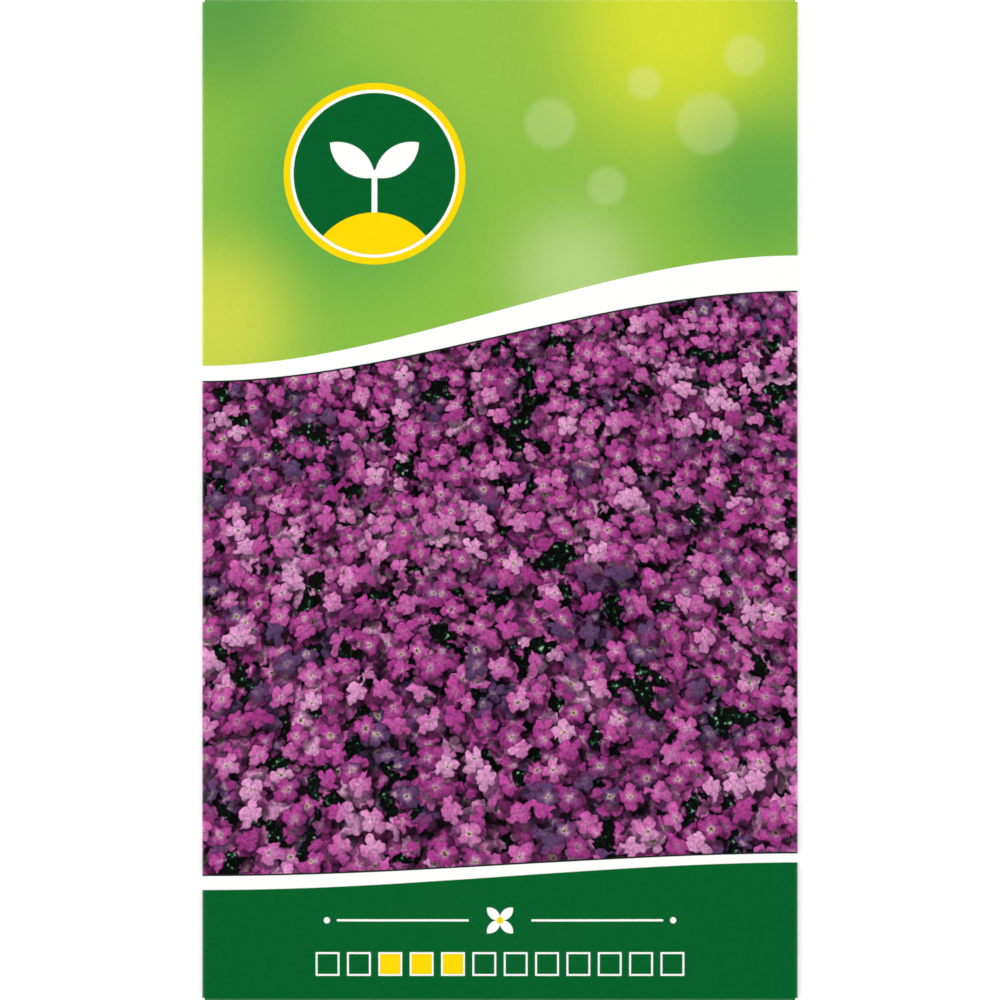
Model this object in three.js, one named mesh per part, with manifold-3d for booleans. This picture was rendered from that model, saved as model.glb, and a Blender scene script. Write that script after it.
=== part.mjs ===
// A seed packet that lies on its back: a flat bag folded from one paper blank, with a heat-sealed
// sachet of seeds inside. Millimetres, +Z up, the bag's top towards +Y, its printed front facing up.
// The origin is at the middle of the bag's footprint, on the surface that the packet lies on.
import * as THREE from "three";
import { mergeVertices } from "three/addons/utils/BufferGeometryUtils.js";
import Module from "manifold-3d";

const wasm = await Module();
wasm.setup();

// Driving dimensions of the bag
const bagWidth = 95;
const bagLength = 160;
const filledHeight = 4.7; // from the surface to the highest point of the front
const paper = 0.2;
const seamOverlap = 11; // how far the two back halves lie over each other
const seamStepRun = 3; // the left half rises to lie over the right one in this width
const flapLength = 14;
const flapTaper = 5; // each side of a flap has come in this much at its free edge

// Driving dimensions of the adhesive
const glue = 0.1;
const seamGlueWidth = 8;
const seamGlueEndGap = 2; // bare paper between the strip's ends and the bag's folds
const flapGlueDepth = 9;
const flapGlueEdgeGap = 1; // bare paper along a flap's free edge
const flapGlueSideGap = 3; // bare paper at a flap's sides

// Driving dimensions of the sachet
const sachetWidth = 62;
const sachetLength = 96;
const sachetMiddle = -12; // along the bag: the sachet has sunk towards the bottom of the bag
const sachetSeal = 6;
const film = 0.12;
const sealHeight = 1.62; // the plane that the two webs meet in
const frontSwell = 2.56;
const backSwell = 0.6;

// Driving dimensions of a seed and of the heap
const seedSize = new THREE.Vector3(1.4, 1.1, 0.7);
const seedPitch = 1.12; // along a row
const rowPitch = 0.86;
const heapReach = new THREE.Vector2(6.8, 3.5); // half its width and half its length
const heapMiddle = new THREE.Vector2(3, -40);
const seedTurn = 0.5; // the most that a seed is turned out of its row, in radians
const seedLean = 0.14; // and the most that it leans

// Heights and radii that follow
const backHeight = paper + glue; // the outer face of the back above the surface
const seamStep = paper + glue; // the left half steps over the right one
const sideRadius = 0.4; // outer radius of the two side folds
const edgeHeight = backHeight + 2 * sideRadius; // the front's outer face all round its edge
const creaseRadius = edgeHeight / 2; // outer radius of the folds at top and bottom
const frontHalfWidth = bagWidth / 2 - sideRadius;
const frontHalfLength = bagLength / 2 - creaseRadius;
const flapHalfWidth = frontHalfWidth; // a flap runs on from the whole flat front
const panelSwell = filledHeight - edgeHeight;

// The form of a swell: 2 is a round top and more is flatter, and an edge over 1 runs out level
const acrossFlatness = 2.6;
const alongFlatness = 3;
const swellEdge = 1.5;

// Counts of cells
const frontColumns = 14;
const frontRows = 24;
const bendSteps = 4;
const flapRows = 2;
const webColumns = 8;
const webRows = 12;

// Evenly spaced values from one end to the other, both ends included.
function steps(from, to, count) {
  return Array.from({ length: count + 1 }, (_, i) => from + ((to - from) * i) / count);
}

// 0 at or below 0, 1 at or above 1, and level at both ends.
function ease(value) {
  return THREE.MathUtils.smoothstep(value, 0, 1);
}

// A sheet cut from a grid of cells and folded. acrossLines and alongLines are the grid's lines on
// the flat blank, keep(across, along) tells from a cell's middle whether the blank has it, and
// place(across, along, outer) gives where a point of the blank's outer or inner side goes.
function foldedSheet(acrossLines, alongLines, keep, place) {
  const positions = [];
  const triangles = [];
  const known = new Map();

  function corner([column, row], outer) {
    const key = [column, row, outer].join();
    if (!known.has(key)) {
      known.set(key, known.size);
      positions.push(...place(acrossLines[column], alongLines[row], outer));
    }
    return known.get(key);
  }

  function quad(a, b, c, d) {
    triangles.push(a, b, c, a, c, d);
  }

  function kept(column, row) {
    const inside = column >= 0 && row >= 0 && column < acrossLines.length - 1 && row < alongLines.length - 1;
    if (!inside) {
      return false;
    }
    const across = (acrossLines[column] + acrossLines[column + 1]) / 2;
    const along = (alongLines[row] + alongLines[row + 1]) / 2;
    return keep(across, along);
  }

  for (let column = 0; column < acrossLines.length - 1; column += 1) {
    for (let row = 0; row < alongLines.length - 1; row += 1) {
      if (!kept(column, row)) {
        continue;
      }
      const around = [[column, row], [column + 1, row], [column + 1, row + 1], [column, row + 1]];
      const neighbours = [[column, row - 1], [column + 1, row], [column, row + 1], [column - 1, row]];
      const [a, b, c, d] = around.map((place) => corner(place, true));
      const [e, f, g, h] = around.map((place) => corner(place, false));
      quad(a, b, c, d);
      triangles.push(e, g, f, e, h, g);
      neighbours.forEach((neighbour, side) => {
        if (!kept(...neighbour)) {
          const start = around[side];
          const end = around[(side + 1) % 4];
          quad(corner(end, true), corner(start, true), corner(start, false), corner(end, false));
        }
      });
    }
  }
  const geometry = new THREE.BufferGeometry();
  geometry.setAttribute("position", new THREE.Float32BufferAttribute(positions, 3));
  geometry.setIndex(triangles);
  geometry.computeVertexNormals();
  return geometry;
}

// The height of a swell, 1 at its middle and 0 with no slope where offset is 1 or more.
function crown(offset, flatness) {
  return Math.max(1 - Math.abs(offset) ** flatness, 0) ** swellEdge;
}

// How full the front is at a point, from 0 along its edges to 1 over the sachet's middle.
function fullness(x, y) {
  const fromMiddle = y - sachetMiddle;
  const reach = frontHalfLength - Math.sign(fromMiddle) * sachetMiddle;
  return crown(x / frontHalfWidth, acrossFlatness) * crown(fromMiddle / reach, alongFlatness);
}

// Lengths on the flat blank: a bend takes half a circle of the paper's middle
const sideBend = Math.PI * (sideRadius - paper / 2);
const creaseBend = Math.PI * (creaseRadius - paper / 2);
const backStart = frontHalfWidth + sideBend;
const backEnd = backStart + frontHalfWidth + seamOverlap / 2;
const flapStart = frontHalfLength + creaseBend;
const flapEnd = flapStart + flapLength;

// The left back half has risen where it meets the right half's free edge.
const stepEnd = -seamOverlap / 2 - paper;
const stepStart = stepEnd - seamStepRun;

// Where a point of the bag's blank goes. Across is 0 down the middle of the front, along is 0 at
// half its length.
function bagPoint(across, along, outer) {
  const beyond = Math.abs(along) - frontHalfLength;
  if (beyond > 1e-6) {
    return flapPoint(across, along, outer);
  }
  const bent = Math.abs(across) - frontHalfWidth;
  const y = along;
  if (bent <= 1e-6) {
    const z = edgeHeight + panelSwell * fullness(across, y);
    return [across, y, outer ? z : z - paper];
  }
  const side = Math.sign(across);
  const radius = outer ? sideRadius : sideRadius - paper;
  const middleHeight = edgeHeight - sideRadius;
  const turn = Math.min(bent / sideBend, 1) * Math.PI;
  const run = Math.max(bent - sideBend, 0);
  const x = side * (frontHalfWidth - run + radius * Math.sin(turn));
  const rise = side < 0 ? seamStep * ease((x - stepStart) / (stepEnd - stepStart)) : 0;
  return [x, y, middleHeight + radius * Math.cos(turn) + rise];
}

// Where a point of a flap goes: round the crease, then back under the bag, drawing in as it goes.
function flapPoint(across, along, outer) {
  const end = Math.sign(along);
  const beyond = Math.abs(along) - frontHalfLength;
  const radius = outer ? creaseRadius : creaseRadius - paper;
  const turn = Math.min(beyond / creaseBend, 1) * Math.PI;
  const run = Math.max(beyond - creaseBend, 0);
  const narrowed = 1 - (flapTaper / flapHalfWidth) * (run / flapLength);
  const y = end * (frontHalfLength - run + radius * Math.sin(turn));
  return [across * narrowed, y, creaseRadius + radius * Math.cos(turn)];
}

function outerBag() {
  const acrossLines = [
    -backEnd,
    ...steps(-backStart - frontHalfWidth - stepEnd, -backStart - frontHalfWidth - stepStart, 2),
    ...steps(-backStart, -frontHalfWidth, bendSteps),
    ...steps(-frontHalfWidth, frontHalfWidth, frontColumns).slice(1),
    ...steps(frontHalfWidth, backStart, bendSteps).slice(1),
    backEnd,
  ];
  const alongLines = [
    ...steps(-flapEnd, -flapStart, flapRows),
    ...steps(-flapStart, -frontHalfLength, bendSteps).slice(1),
    ...steps(-frontHalfLength, frontHalfLength, frontRows).slice(1),
    ...steps(frontHalfLength, flapStart, bendSteps).slice(1),
    ...steps(flapStart, flapEnd, flapRows).slice(1),
  ];
  const inBlank = (across, along) =>
    Math.abs(along) < frontHalfLength || Math.abs(across) < flapHalfWidth;
  return foldedSheet(acrossLines, alongLines, inBlank, bagPoint);
}

// A strip of set adhesive that fills the space between two layers of paper.
function glueStrip(width, length) {
  return new THREE.BoxGeometry(width, length, glue);
}

// How far the sachet's webs stand apart at a point, from 0 at the seals to 1 in the middle.
function pouchFullness(x, y) {
  const across = crown(x / (sachetWidth / 2 - sachetSeal), acrossFlatness);
  const along = crown((y - sachetMiddle) / (sachetLength / 2 - sachetSeal), alongFlatness);
  return across * along;
}

// One web of the sachet. Up is 1 for the web under the bag's front and -1 for the one on its back.
function sachetWeb(up, swell) {
  const innerX = sachetWidth / 2 - sachetSeal;
  const innerY = sachetLength / 2 - sachetSeal;
  const acrossLines = [-sachetWidth / 2, ...steps(-innerX, innerX, webColumns), sachetWidth / 2];
  const alongLines = [-sachetLength / 2, ...steps(-innerY, innerY, webRows), sachetLength / 2];
  const place = (across, along, outer) => {
    const y = along + sachetMiddle;
    const inner = sealHeight + up * swell * pouchFullness(across, y);
    const far = outer === up > 0;
    return [across, y, far ? inner + up * film : inner];
  };
  return foldedSheet(acrossLines, alongLines, () => true, place);
}

// A closed geometry as a solid that can be joined to others, and back again.
function toSolid(geometry) {
  const bare = geometry.clone();
  bare.deleteAttribute("normal");
  bare.deleteAttribute("uv");
  const merged = mergeVertices(bare);
  const vertProperties = merged.attributes.position.array;
  const triVerts = new Uint32Array(merged.index.array);
  return new wasm.Manifold(new wasm.Mesh({ numProp: 3, vertProperties, triVerts }));
}

function toGeometry(solid) {
  const mesh = solid.getMesh();
  const geometry = new THREE.BufferGeometry();
  geometry.setAttribute("position", new THREE.Float32BufferAttribute(mesh.vertProperties, 3));
  geometry.setIndex(Array.from(mesh.triVerts));
  geometry.computeVertexNormals();
  return geometry;
}

// A repeatable stream of numbers from 0 to 1.
function randomStream(seed) {
  let state = seed;
  return () => {
    state = (state * 1664525 + 1013904223) % 4294967296;
    return state / 4294967296;
  };
}

// One seed, turned and leaned, with its middle at the point given.
function seedSolid(x, y, z, random) {
  const seed = new THREE.IcosahedronGeometry(0.5);
  const shape = new THREE.Matrix4().makeScale(seedSize.x, seedSize.y, seedSize.z);
  const lean = seedLean * (2 * random() - 1);
  const turn = seedTurn * (2 * random() - 1);
  const turned = new THREE.Matrix4().makeRotationFromEuler(new THREE.Euler(lean, 0, turn, "ZYX"));
  seed.applyMatrix4(shape).applyMatrix4(turned);
  seed.translate(x, y, z);
  return toSolid(seed);
}

// The seeds lie one layer deep on the sachet's back web, in rows that touch, in a low oval heap.
function seedHeap() {
  const random = randomStream(17);
  const seeds = [];
  const rowCount = Math.floor(heapReach.y / rowPitch);
  for (let row = -rowCount; row <= rowCount; row += 1) {
    const reach = heapReach.x * Math.sqrt(1 - ((row * rowPitch) / heapReach.y) ** 2);
    const shift = row % 2 === 0 ? 0 : seedPitch / 2;
    const count = Math.floor(reach / seedPitch);
    for (let place = -count; place <= count; place += 1) {
      const x = heapMiddle.x + place * seedPitch + shift;
      const y = heapMiddle.y + row * rowPitch;
      const web = sealHeight - backSwell * pouchFullness(x, y);
      const halfHeight = seedSize.z / 2 + (seedSize.x / 2) * Math.sin(seedLean);
      seeds.push(seedSolid(x, y, web + halfHeight, random));
    }
  }
  const heap = seeds.reduce((joined, seed) => joined.add(seed));
  const pieces = heap.decompose();
  pieces.sort((a, b) => b.volume() - a.volume());
  return toGeometry(pieces[0]);
}

const paperFinish = new THREE.MeshStandardMaterial({ color: 0x794066, roughness: 0.45, metalness: 0 });
const glueFinish = new THREE.MeshStandardMaterial({ color: 0xe6e0cf, roughness: 0.4, metalness: 0 });
const foilFinish = new THREE.MeshStandardMaterial({ color: 0xc9ccd0, roughness: 0.3, metalness: 1 });
const seedFinish = new THREE.MeshStandardMaterial({ color: 0x6b432a, roughness: 0.75, metalness: 0 });

const packet = new THREE.Group();

function addPiece(name, geometry, material, x = 0, y = 0, z = 0) {
  const piece = new THREE.Mesh(geometry, material);
  piece.name = name;
  piece.position.set(x, y, z);
  packet.add(piece);
}

addPiece("outer_bag", outerBag(), paperFinish);

// The seam's adhesive lies on the right half, and the left half on it.
const seamGlueLength = 2 * (frontHalfLength - seamGlueEndGap);
const seamGlueZ = backHeight + paper + glue / 2;
addPiece("seam_glue", glueStrip(seamGlueWidth, seamGlueLength), glueFinish, 0, 0, seamGlueZ);

// Each flap's adhesive lies between the flap and the back.
const flapGlueWidth = 2 * (flapHalfWidth - flapTaper - flapGlueSideGap);
const flapGlueY = frontHalfLength - flapLength + flapGlueEdgeGap + flapGlueDepth / 2;
const flapGlueZ = paper + glue / 2;
for (const [end, side] of [["bottom", -1], ["top", 1]]) {
  const strip = glueStrip(flapGlueWidth, flapGlueDepth);
  addPiece(`${end}_flap_glue`, strip, glueFinish, 0, side * flapGlueY, flapGlueZ);
}

addPiece("sachet_back_web", sachetWeb(-1, backSwell), foilFinish);
addPiece("sachet_front_web", sachetWeb(1, frontSwell), foilFinish);
addPiece("seeds", seedHeap(), seedFinish);

export default packet;
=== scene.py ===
"""A paper seed packet that lies on its back, dressed round the fixed frame, in metres."""

import logging
import math
import random
from collections.abc import Callable, Iterable, Mapping, Sequence
from dataclasses import dataclass
from enum import Enum, IntEnum
from itertools import product

import bmesh
import bpy
from bmesh.types import BMesh
from bpy.types import Material, Mesh, Node, NodeSocket, NodeTree, Object
from mathutils import Matrix, Vector, noise


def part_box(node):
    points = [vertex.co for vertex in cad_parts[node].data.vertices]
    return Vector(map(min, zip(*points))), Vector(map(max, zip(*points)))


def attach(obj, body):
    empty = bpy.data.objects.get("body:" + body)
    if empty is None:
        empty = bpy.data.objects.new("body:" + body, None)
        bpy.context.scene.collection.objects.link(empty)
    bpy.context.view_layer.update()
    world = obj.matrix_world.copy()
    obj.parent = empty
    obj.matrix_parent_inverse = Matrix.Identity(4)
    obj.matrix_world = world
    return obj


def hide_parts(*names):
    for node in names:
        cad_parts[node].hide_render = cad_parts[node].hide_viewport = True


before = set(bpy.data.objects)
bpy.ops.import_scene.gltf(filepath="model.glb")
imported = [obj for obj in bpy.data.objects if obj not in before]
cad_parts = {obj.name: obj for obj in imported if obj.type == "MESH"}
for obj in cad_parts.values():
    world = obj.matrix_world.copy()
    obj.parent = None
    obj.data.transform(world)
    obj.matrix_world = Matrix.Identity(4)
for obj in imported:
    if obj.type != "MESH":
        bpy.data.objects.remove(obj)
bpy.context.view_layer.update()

MM = 0.001
HAIR = 0.001 * MM  # A length too small to see
MONTHS = 12
BODY = "root"
CREASE_ANGLE = math.radians(40)
NOISE_REACH = (0.3, 0.7)  # Where nearly all values of a noise lie
LOG = logging.getLogger("seed_packet")

Pair = tuple[float, float]
Triple = tuple[float, float, float]
Stops = tuple[tuple[float, str], ...]
MATH = ("ShaderNodeMath", "operation")
VECTOR_MATH = ("ShaderNodeVectorMath", "operation")
Source = Node | NodeSocket | float | Sequence[float] | None


class Side(Enum):
    """The two long sides of the bag."""

    LEFT = -1
    RIGHT = 1


class End(Enum):
    """The two short ends of the bag."""

    BOTTOM = -1
    TOP = 1


class Paper(IntEnum):
    """The bag's papers, in the order of its material slots."""

    FRONT = 0
    BACK = 1
    BARE = 2


class Kind(Enum):
    """What a node does: Blender's name of its kind, then a setting that it needs and its value."""

    PLUS = *MATH, "ADD"
    MINUS = *MATH, "SUBTRACT"
    TIMES = *MATH, "MULTIPLY"
    TIMES_PLUS = *MATH, "MULTIPLY_ADD"
    DIVIDED = *MATH, "DIVIDE"
    POWER = *MATH, "POWER"
    ROOT = *MATH, "SQRT"
    SIZE = *MATH, "ABSOLUTE"
    WHOLE = *MATH, "FLOOR"
    FRACTION = *MATH, "FRACT"
    NEAR = *MATH, "COMPARE"
    LARGER = *MATH, "MAXIMUM"
    PLACE_PLUS = *VECTOR_MATH, "ADD"
    PLACE_MINUS = *VECTOR_MATH, "SUBTRACT"
    PLACE_TIMES = *VECTOR_MATH, "MULTIPLY"
    PLACE_TIMES_PLUS = *VECTOR_MATH, "MULTIPLY_ADD"
    PLACE_SIZE = *VECTOR_MATH, "ABSOLUTE"
    DISTANCE = *VECTOR_MATH, "DISTANCE"
    DOT = *VECTOR_MATH, "DOT_PRODUCT"
    SCALED = *VECTOR_MATH, "SCALE"
    UNIT = *VECTOR_MATH, "NORMALIZE"
    TURNED = "ShaderNodeVectorRotate", "rotation_type", "Z_AXIS"
    SPLIT = ("ShaderNodeSeparateXYZ",)
    JOIN = ("ShaderNodeCombineXYZ",)
    RANGE = ("ShaderNodeMapRange",)
    LINE = "ShaderNodeMapRange", "clamp", False
    FADE = "ShaderNodeMapRange", "interpolation_type", "SMOOTHSTEP"
    GLOW = "ShaderNodeMapRange", "interpolation_type", "SMOOTHERSTEP"
    MIX = "ShaderNodeMix", "data_type", "RGBA"
    RAMP = ("ShaderNodeValToRGB",)
    NOISE = ("ShaderNodeTexNoise",)
    FLAT_NOISE = "ShaderNodeTexNoise", "noise_dimensions", "2D"
    CELLS = ("ShaderNodeTexVoronoi",)
    FLAT_CELLS = "ShaderNodeTexVoronoi", "voronoi_dimensions", "2D"
    BUMP = ("ShaderNodeBump",)
    COORDINATES = ("ShaderNodeTexCoord",)
    MAP = ("ShaderNodeUVMap",)
    GROUP = ("ShaderNodeGroup",)
    GIVEN = ("NodeGroupInput",)
    RESULT = ("NodeGroupOutput",)
    SHADER = ("ShaderNodeBsdfPrincipled",)
    SURFACE = ("ShaderNodeOutputMaterial",)
    LIGHT = ("ShaderNodeBackground",)
    SKY = ("ShaderNodeOutputWorld",)


def linear(colour: str) -> tuple[float, float, float, float]:
    """Turns an sRGB hex colour into the linear RGBA that shaders read.

    Args:
        colour: Six hex digits after a hash sign, or eight where the last two give the alpha.

    Returns:
        Linear red, green and blue, and the alpha, which is 1 unless given.
    """
    shares = [int(colour[i : i + 2], 16) / 255 for i in range(1, len(colour), 2)]
    red, green, blue = (c / 12.92 if c <= 0.04045 else ((c + 0.055) / 1.055) ** 2.4 for c in shares[:3])
    return red, green, blue, shares[3] if len(shares) > 3 else 1.0


class Recipe:
    """A node tree in the making."""

    def __init__(self, tree: NodeTree) -> None:
        """Starts with no nodes."""
        self.tree = tree
        tree.nodes.clear()

    def add(
        self,
        kind: Kind,
        inputs: Mapping[str, Source] | Iterable[Source] = (),
        stops: Stops = (),
        **settings: object,
    ) -> Node:
        """Adds a node with its settings, and links or sets its inputs.

        Args:
            kind: What the node does.
            inputs: What goes in, by the inputs' names or in their order. A node stands for its first output.
            stops: The places and hex colours of a colour ramp.
            settings: The node's own settings, beyond those of its kind.

        Returns:
            The new node.
        """
        name, *known = kind.value
        node = self.tree.nodes.new(name)
        if known:
            settings[known[0]] = known[1]
        for setting, value in settings.items():
            setattr(node, setting, value)
        for index, (place, colour) in enumerate(stops):
            elements = node.color_ramp.elements
            stop = elements[index] if index < len(elements) else elements.new(place)
            stop.position = place
            stop.color = linear(colour)
        if isinstance(inputs, Mapping):
            pairs = [(node.inputs[socket], value) for socket, value in inputs.items()]
        else:
            pairs = zip([socket for socket in node.inputs if socket.enabled], inputs)
        for socket, value in pairs:
            if isinstance(value, Node):
                value = next(output for output in value.outputs if output.enabled)
            if isinstance(value, NodeSocket):
                self.tree.links.new(value, socket)
            elif value is not None:
                socket.default_value = value
        return node

    def texture(self, kind: Kind, place: Source, size: float, **inputs: Source) -> Node:
        """Adds a texture, with features about as wide as its size, in the unit of the place."""
        return self.add(kind, {"Vector": place, "Scale": 1 / size, **inputs})


class Finish(Recipe):
    """The recipe of a material."""

    def __init__(self, name: str) -> None:
        """Starts the material."""
        self.material = bpy.data.materials.new(name)
        self.material.use_nodes = True
        super().__init__(self.material.node_tree)

    def relief(self, height: Source, strength: float, depth: float) -> Node:
        """Adds a bump, whose depth is in millimetres."""
        inputs = {"Strength": strength, "Distance": depth * MM, "Height": height}
        return self.add(Kind.BUMP, inputs)

    def close(self, **shader: Source) -> Material:
        """Adds the shader, which ends the recipe.

        Args:
            shader: What goes into the shader, by its inputs' names with _ for each space.

        Returns:
            The finished material.
        """
        inputs = {name.replace("_", " "): value for name, value in shader.items()}
        self.add(Kind.SURFACE, {"Surface": self.add(Kind.SHADER, inputs)})
        return self.material


def ease(value: float) -> float:
    """Returns 0 up to 0 and 1 from 1 on, level at both ends."""
    held = min(max(value, 0.0), 1.0)
    return held * held * (3 - 2 * held)


def halfway(share: float) -> float:
    """Returns 1 where the share is a half, and 0 where it is 0 or 1."""
    return 4 * share * (1 - share)


def swell(offset: float, flatness: float, edge: float = 1.5) -> float:
    """Returns a crown's height, 1 at its middle and 0 with no slope where offset is 1 or more."""
    return max(1 - abs(offset) ** flatness, 0.0) ** edge


def stations(*stretches: tuple[float, float, int]) -> list[float]:
    """Lists places along a line, evenly spaced within each stretch.

    Args:
        stretches: For each stretch its two ends and its count of steps, one stretch after another.

    Returns:
        The places in order, with each place that two stretches share named once.
    """
    places = [stretches[0][0]]
    for start, end, count in stretches:
        places += [start + (end - start) * step / count for step in range(1, count + 1)]
    return places


def flat_sheet(across: Sequence[float], along: Sequence[float]) -> BMesh:
    """Makes a flat sheet of quads that faces up.

    Args:
        across: Where the lines that run along the sheet lie.
        along: Where the lines that run across it lie.

    Returns:
        The sheet.
    """
    sheet = bmesh.new()
    bmesh.ops.create_grid(sheet, x_segments=len(across) - 1, y_segments=len(along) - 1, size=1.0)
    for corner, (y, x) in zip(sheet.verts, product(along, across)):
        corner.co = (x, y, 0.0)
    return sheet


def as_object(name: str, shape: BMesh, *finishes: Material) -> Object:
    """Turns a bmesh into a piece at the origin, shaded smooth.

    Args:
        name: The piece's name.
        shape: The bmesh, which is freed.
        finishes: The materials of the piece's slots.

    Returns:
        The new object, linked to the scene.
    """
    mesh = bpy.data.meshes.new(name)
    shape.to_mesh(mesh)
    shape.free()
    for finish in finishes:
        mesh.materials.append(finish)
    mesh.shade_smooth()
    piece = bpy.data.objects.new(name, mesh)
    bpy.context.scene.collection.objects.link(piece)
    return piece


def thicken(piece: Object, thickness: float) -> None:
    """Gives a sheet its thickness below its face, applies it, and sharpens the cut edges.

    Args:
        piece: The sheet.
        thickness: How thick it gets.
    """
    solid = piece.modifiers.new("thickness", "SOLIDIFY")
    solid.thickness = thickness
    solid.offset = -1
    solid.use_even_offset = True
    bpy.context.view_layer.objects.active = piece
    bpy.ops.object.modifier_apply(modifier=solid.name)
    piece.data.set_sharp_from_angle(angle=CREASE_ANGLE)


@dataclass(frozen=True)
class BagSizes:
    """The folded bag's sizes, the outer three from the frame."""

    width: float
    length: float
    height: float
    paper: float = 0.2 * MM
    glue: float = 0.1 * MM
    side_radius: float = 0.4 * MM
    seam_overlap: float = 11 * MM
    seam_step_run: float = 3 * MM
    flap_length: float = 14 * MM
    flap_taper: float = 5 * MM
    swell_middle: float = -12 * MM

    @classmethod
    def from_frame(cls) -> "BagSizes":
        """Reads the outer sizes off the bag's solid."""
        low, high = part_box("outer_bag")
        return cls(high.x - low.x, high.y - low.y, high.z - low.z)

    @property
    def edge_height(self) -> float:
        """The front's height all round its edge."""
        return self.paper + self.glue + 2 * self.side_radius

    @property
    def crease_radius(self) -> float:
        """The outer radius of the folds at top and bottom."""
        return self.edge_height / 2

    @property
    def half_width(self) -> float:
        """Half the width of the flat front, between the side folds."""
        return self.width / 2 - self.side_radius

    @property
    def half_length(self) -> float:
        """Half the length of the flat front, between the creases."""
        return self.length / 2 - self.crease_radius

    @property
    def side_bend(self) -> float:
        """The paper that a side fold takes up."""
        return math.pi * (self.side_radius - self.paper / 2)

    @property
    def crease_bend(self) -> float:
        """The paper that a crease takes up."""
        return math.pi * (self.crease_radius - self.paper / 2)

    @property
    def back_start(self) -> float:
        """Where a back half starts on the blank."""
        return self.half_width + self.side_bend

    @property
    def back_end(self) -> float:
        """Where a back half ends on the blank."""
        return self.back_start + self.half_width + self.seam_overlap / 2

    @property
    def flap_start(self) -> float:
        """Where a flap starts on the blank, past its crease."""
        return self.half_length + self.crease_bend

    @property
    def flap_end(self) -> float:
        """Where a flap ends on the blank."""
        return self.flap_start + self.flap_length


class InkStack(Finish):
    """A printed finish whose inks are laid one over another, with lengths in millimetres."""

    EDGE = 0.1  # How wide the soft edge of a mask is

    def __init__(self, name: str, ground: str) -> None:
        """Starts the finish with an even ground, a hex colour."""
        super().__init__(name)
        self.colour: Source = linear(ground)

    def lay(self, mask: Source, ink: str | Node) -> None:
        """Lays an ink, a hex colour or a node that gives one for each place, where the mask is 1."""
        source = linear(ink) if isinstance(ink, str) else ink
        self.colour = self.add(Kind.MIX, [mask, self.colour, source])

    def over(self, high: Source, low: Source) -> Node:
        """Adds a mask that is 1 where high is more than low."""
        apart = self.add(Kind.MINUS, [high, low])
        return self.add(Kind.RANGE, [apart, -self.EDGE / 2, self.EDGE / 2])

    def within(self, length: Source, limit: float) -> Node:
        """Adds a mask that is 1 where a length is less than a limit."""
        return self.add(Kind.RANGE, [length, limit + self.EDGE / 2, limit - self.EDGE / 2])

    def both(self, one: Source, other: Source) -> Node:
        """Adds a mask that is 1 where both masks are."""
        return self.add(Kind.TIMES, [one, other])

    def reach(self, place: Source, centre: Sequence[float]) -> Node:
        """Adds the distance from a centre."""
        return self.add(Kind.DISTANCE, [place, (*centre, 0.0)])

    def quarter(self, place: Source, centre: Sequence[float]) -> Node:
        """Adds the place from a centre, with its four quarters folded onto one."""
        off = self.add(Kind.PLACE_MINUS, [place, (*centre, 0.0)])
        return self.add(Kind.PLACE_SIZE, [off])

    def disc(self, place: Source, centre: Sequence[float], radius: float) -> Node:
        """Adds the mask of a disc."""
        return self.within(self.reach(place, centre), radius)

    def bar(self, place: Source, centre: Sequence[float], half: Sequence[float]) -> Node:
        """Adds the mask of an upright rectangle, which reaches half its sizes from its centre."""
        split = self.add(Kind.SPLIT, [self.quarter(place, centre)])
        return self.both(*(self.within(split.outputs[axis], half[axis]) for axis in range(2)))

    def leaf(self, place: Source, foot: Pair, angle: float, length: float, half_breadth: float) -> Node:
        """Adds the mask of a pointed leaf, where two equal discs overlap.

        Args:
            place: The place on the print.
            foot: Where the leaf starts.
            angle: The way that it points, in degrees from +X.
            length: From foot to tip.
            half_breadth: Half its breadth.

        Returns:
            The mask.
        """
        half = length / 2
        radius = (half_breadth**2 + half**2) / (2 * half_breadth)
        way = Vector((math.cos(math.radians(angle)), math.sin(math.radians(angle))))
        cross = Vector((-way.y, way.x))
        middle = Vector(foot) + way * half
        off = radius - half_breadth
        reaches = [self.reach(place, middle + cross * side.value * off) for side in Side]
        return self.within(self.add(Kind.LARGER, reaches), radius)


@dataclass(frozen=True)
class CoatedPaper:
    """Satin coated paper: a smooth clay coat, so its gloss is soft and its inks lie even and flat."""

    white: str = "#fdfdfb"
    light_green: str = "#8bbd45"
    dark_green: str = "#02602a"
    yellow: str = "#fcd900"
    roughness: float = 0.28
    gloss_spread: float = 0.015
    fibre_grain: float = 1.5
    fibre_relief: float = 0.006

    def coated(self, inks: InkStack) -> Material:
        """Ends a print's finish with the paper's coat.

        The coat follows the fibres under it in low swells, and is a little duller on some than on others.

        Args:
            inks: The print.

        Returns:
            The printed paper.
        """
        place = inks.add(Kind.COORDINATES).outputs["Object"]
        fibres = inks.texture(Kind.FLAT_NOISE, place, self.fibre_grain * MM, Detail=1.0)
        dull, bright = self.roughness + self.gloss_spread, self.roughness - self.gloss_spread
        return inks.close(
            Base_Color=inks.colour,
            Roughness=inks.add(Kind.RANGE, [fibres, *NOISE_REACH, bright, dull]),
            Normal=inks.relief(fibres, strength=0.25, depth=self.fibre_relief),
            IOR=1.5,
            Specular_IOR_Level=0.3,
        )


@dataclass(frozen=True)
class Wander:
    """A value that wanders over a print: a noise times its gain, plus its base."""

    size: float
    gain: float = 1.0
    base: float = 0.0
    held: bool = False

    def add_to(self, recipe: Recipe, place: Node) -> Node:
        """Adds the value at a place, in patches about as wide as its size, held from 0 to 1 if it says so."""
        source = recipe.texture(Kind.FLAT_NOISE, place, self.size, Detail=1.0)
        return recipe.add(Kind.TIMES_PLUS, [source, self.gain, self.base], use_clamp=self.held)


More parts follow.
